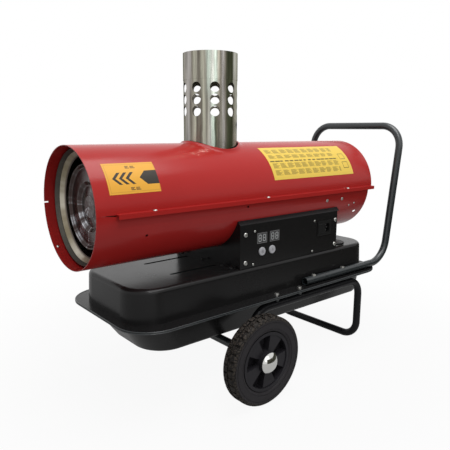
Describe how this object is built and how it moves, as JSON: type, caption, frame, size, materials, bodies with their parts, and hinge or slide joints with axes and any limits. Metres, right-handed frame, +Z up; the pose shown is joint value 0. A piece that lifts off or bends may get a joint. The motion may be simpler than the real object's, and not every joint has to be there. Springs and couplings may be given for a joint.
{
  "type": "indirect fired heater",
  "caption": "Wheeled indirect oil heater: red steel barrel with perforated flue on a black control base and flanged fuel tank, tube handle and leg frame.",
  "frame": {"origin": "centre of the bounding box in X and Y, on the floor", "axes": "+X from the outlet towards the handle, +Z up, the control panel faces -Y"},
  "size_m": [0.936, 0.508, 0.7624],
  "materials": {
    "red_paint": "gloss",
    "black_paint": "semi gloss",
    "black_tube": "satin",
    "dark_steel": "heat darkened",
    "stainless": "satin",
    "galvanised": "dull",
    "zinc_screws": "bright",
    "tyre_rubber": "matte",
    "grey_plastic": "satin",
    "chrome_caps": "polished",
    "black_plastic": "satin",
    "display_glass": "gloss",
    "white_button": "gloss",
    "brass": "turned",
    "motor_grey": "satin",
    "fan_alloy": "stamped",
    "board_green": "satin",
    "strainer_plastic": "satin",
    "copper_pipe": "drawn",
    "porcelain": "glazed"
  },
  "bodies": {
    "root": {"axle": "zinc_screws", "axle_collars": "black_tube", "axle_tube": "black_tube", "base_front_panel": "black_paint", "base_rear_panel": "black_paint", "base_screws": "zinc_screws", "burner_tube": "galvanised", "chimney": "stainless", "combustion_chamber": "stainless", "control_board": "board_green", "drain_plug": "zinc_screws", "drum_screws": "zinc_screws", "exchanger_back_plate": "stainless", "exchanger_front_cap": "stainless", "exchanger_shell": "stainless", "exchanger_struts": "stainless", "fan_motor": "motor_grey", "far_side_panel": "black_paint", "filler_neck": "zinc_screws", "flame_disc": "galvanised", "flue_spigot": "stainless", "frame_bolts": "zinc_screws", "fuel_pipes": "copper_pipe", "fuel_pump": "motor_grey", "fuel_strainer": "strainer_plastic", "handle": "black_tube", "heat_shield": "dark_steel", "ignition_electrodes": "porcelain", "ignition_transformer": "motor_grey", "inlet_pins": "fan_alloy", "left_display": "display_glass", "leg_frame": "black_tube", "leg_spacers": "black_tube", "liner_spacers": "galvanised", "lower_drum_shell": "red_paint", "mains_inlet": "black_plastic", "motor_bracket": "galvanised", "near_side_panel": "black_paint", "nozzle_holder": "brass", "outlet_cone": "galvanised", "photocell": "black_plastic", "rear_guard": "black_tube", "right_display": "display_glass", "tank_lower": "black_paint", "tank_upper": "black_paint", "upper_drum_shell": "red_paint"},
    "left_wheel": {"left_tyre": "tyre_rubber", "left_rim": "grey_plastic", "left_hub_cap": "chrome_caps"},
    "right_wheel": {"right_tyre": "tyre_rubber", "right_rim": "grey_plastic", "right_hub_cap": "chrome_caps"},
    "fan_rotor": {"fan": "fan_alloy", "motor_shaft": "zinc_screws"},
    "left_button_body": {"left_button": "white_button"},
    "right_button_body": {"right_button": "white_button"},
    "cap_body": {"fuel_cap": "black_plastic"},
    "drawer_body": {"fuse_drawer": "black_plastic"}
  },
  "joints": [
    {"name": "left_wheel_spin", "type": "hinge", "parent": "root", "child": "left_wheel", "pos_m": [-0.139, -0.219, 0.1], "axis": [0, 1, 0], "continuous": true},
    {"name": "right_wheel_spin", "type": "hinge", "parent": "root", "child": "right_wheel", "pos_m": [-0.139, 0.219, 0.1], "axis": [0, 1, 0], "continuous": true},
    {"name": "fan_spin", "type": "hinge", "parent": "root", "child": "fan_rotor", "pos_m": [0.311, 0, 0.4366], "axis": [1, 0, 0], "continuous": true},
    {"name": "left_button_press", "type": "slide", "parent": "root", "child": "left_button_body", "axis": [0, 1, 0], "range_m": [0, 0.002], "stiffness_N_per_m": 300, "springref_m": -0.002},
    {"name": "right_button_press", "type": "slide", "parent": "root", "child": "right_button_body", "axis": [0, 1, 0], "range_m": [0, 0.002], "stiffness_N_per_m": 300, "springref_m": -0.002},
    {"name": "cap_lift", "type": "slide", "parent": "root", "child": "cap_body", "axis": [0, 0, 1], "range_m": [0, 0.03]},
    {"name": "fuse_drawer_pull", "type": "slide", "parent": "root", "child": "drawer_body", "axis": [0, -1, 0], "range_m": [0, 0.016]}
  ]
}
